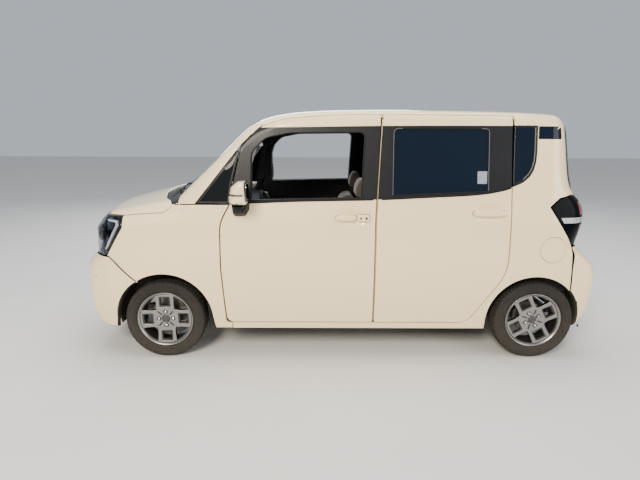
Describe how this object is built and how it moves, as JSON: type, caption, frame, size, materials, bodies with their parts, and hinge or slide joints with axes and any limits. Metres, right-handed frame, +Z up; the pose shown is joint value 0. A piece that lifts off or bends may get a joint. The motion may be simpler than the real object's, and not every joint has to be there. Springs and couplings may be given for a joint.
{
  "type": "four-door tall-roof city car",
  "caption": "Tall-roof city car body on steered and driven wheels, with opening doors, tailgate, hood and fuel flap.",
  "frame": {"origin": "on the ground under the middle of the bounding box", "axes": "+X forward, +Y to the car's left, +Z up"},
  "size_m": [3.595, 1.97, 1.6914],
  "materials": {
    "body_paint": "gloss",
    "black_trim": "gloss",
    "rough_plastic": "matte",
    "clear_glass": "clear",
    "dark_glass": "tinted",
    "lamp": "clear lens",
    "tail_lamp": "dark lens",
    "tyre": "matte",
    "alloy": "machined and painted",
    "underbody_steel": "coated",
    "engine_metal": "cast",
    "exhaust_steel": "dull",
    "seat_fabric": "woven",
    "dash_plastic": "grained",
    "mirror_glass": "mirror"
  },
  "bodies": {
    "body": {"floor_pan": "underbody_steel", "load_floor": "underbody_steel", "rear_wheelhouses": "underbody_steel", "rear_panel": "underbody_steel", "body_side_left": "body_paint", "body_side_right": "body_paint", "roof_panel": "body_paint", "windscreen": "clear_glass", "fixed_side_glass": "dark_glass", "rear_door_right": "body_paint", "rear_door_handle_right": "body_paint", "front_fenders": "body_paint", "front_bumper": "body_paint", "headlamps": "lamp", "grille_panel": "body_paint", "rear_bumper": "body_paint", "tail_lamps": "tail_lamp", "front_bulkhead": "underbody_steel", "front_subframe": "underbody_steel", "engine_block": "engine_metal", "rear_axle_beam": "underbody_steel", "fuel_tank": "rough_plastic", "exhaust": "exhaust_steel", "front_seats": "seat_fabric", "rear_bench": "seat_fabric", "dashboard": "dash_plastic", "wipers": "rough_plastic", "rear_view_mirror": "dash_plastic"},
    "left_front_door": {"front_door_left": "body_paint", "door_mirror_left": "body_paint", "front_door_handle_left": "body_paint"},
    "right_front_door": {"front_door_right": "body_paint", "door_mirror_right": "body_paint", "front_door_handle_right": "body_paint"},
    "left_rear_door": {"rear_door_left": "body_paint", "rear_door_glass_left": "dark_glass", "rear_door_handle_left": "body_paint"},
    "tailgate_body": {"tailgate": "body_paint", "tailgate_glass": "dark_glass"},
    "hood_body": {"hood": "body_paint"},
    "fuel_flap_body": {"fuel_flap": "body_paint"},
    "steering_wheel_body": {"steering_wheel": "dash_plastic"},
    "left_knuckle": {"knuckle_left": "underbody_steel"},
    "right_knuckle": {"knuckle_right": "underbody_steel"},
    "front_left_wheel": {"rim_front_left": "alloy", "tyre_front_left": "tyre"},
    "front_right_wheel": {"rim_front_right": "alloy", "tyre_front_right": "tyre"},
    "rear_left_wheel": {"rim_rear_left": "alloy", "tyre_rear_left": "tyre"},
    "rear_right_wheel": {"rim_rear_right": "alloy", "tyre_rear_right": "tyre"}
  },
  "joints": [
    {"name": "front_left_door_hinge", "type": "hinge", "parent": "body", "child": "left_front_door", "pos_m": [0.7285, 0.7875, 0.65], "axis": [0, 0, -1], "range_deg": [0, 65]},
    {"name": "front_right_door_hinge", "type": "hinge", "parent": "body", "child": "right_front_door", "pos_m": [0.7285, -0.7875, 0.65], "axis": [0, 0, 1], "range_deg": [0, 65]},
    {"name": "rear_left_door_hinge", "type": "hinge", "parent": "body", "child": "left_rear_door", "pos_m": [-0.3005, 0.7875, 0.65], "axis": [0, 0, -1], "range_deg": [0, 70]},
    {"name": "tailgate_hinge", "type": "hinge", "parent": "body", "child": "tailgate_body", "pos_m": [-1.4545, 0, 1.664], "axis": [0, 1, 0], "range_deg": [0, 80]},
    {"name": "hood_hinge", "type": "hinge", "parent": "body", "child": "hood_body", "pos_m": [1.0995, 0, 1.15], "axis": [0, -1, 0], "range_deg": [0, 55]},
    {"name": "fuel_flap_hinge", "type": "hinge", "parent": "body", "child": "fuel_flap_body", "pos_m": [-1.3505, 0.7985, 0.773], "axis": [0, 0, -1], "range_deg": [0, 90]},
    {"name": "steer_left", "type": "hinge", "parent": "body", "child": "left_knuckle", "pos_m": [1.1715, 0.642, 0.195], "axis": [0, -0.1871, 0.9823], "range_deg": [-34, 34]},
    {"name": "steer_right", "type": "hinge", "parent": "body", "child": "right_knuckle", "pos_m": [1.1715, -0.642, 0.195], "axis": [0, 0.1871, 0.9823], "range_deg": [-34, 34]},
    {"name": "steering_wheel_turn", "type": "hinge", "parent": "body", "child": "steering_wheel_body", "pos_m": [0.4715, 0.345, 0.935], "axis": [-0.9063, 0, 0.4226], "range_deg": [-510, 510]},
    {"name": "front_left_wheel_spin", "type": "hinge", "parent": "left_knuckle", "child": "front_left_wheel", "pos_m": [1.1715, 0.706, 0.274], "axis": [0, 1, 0], "continuous": true},
    {"name": "front_right_wheel_spin", "type": "hinge", "parent": "right_knuckle", "child": "front_right_wheel", "pos_m": [1.1715, -0.706, 0.274], "axis": [0, 1, 0], "continuous": true},
    {"name": "rear_left_wheel_spin", "type": "hinge", "parent": "body", "child": "rear_left_wheel", "pos_m": [-1.3485, 0.706, 0.274], "axis": [0, 1, 0], "continuous": true},
    {"name": "rear_right_wheel_spin", "type": "hinge", "parent": "body", "child": "rear_right_wheel", "pos_m": [-1.3485, -0.706, 0.274], "axis": [0, 1, 0], "continuous": true}
  ],
  "couplings": [
    {"joint": "steer_right", "follows": "steer_left", "ratio": 1},
    {"joint": "steering_wheel_turn", "follows": "steer_left", "ratio": 15}
  ]
}
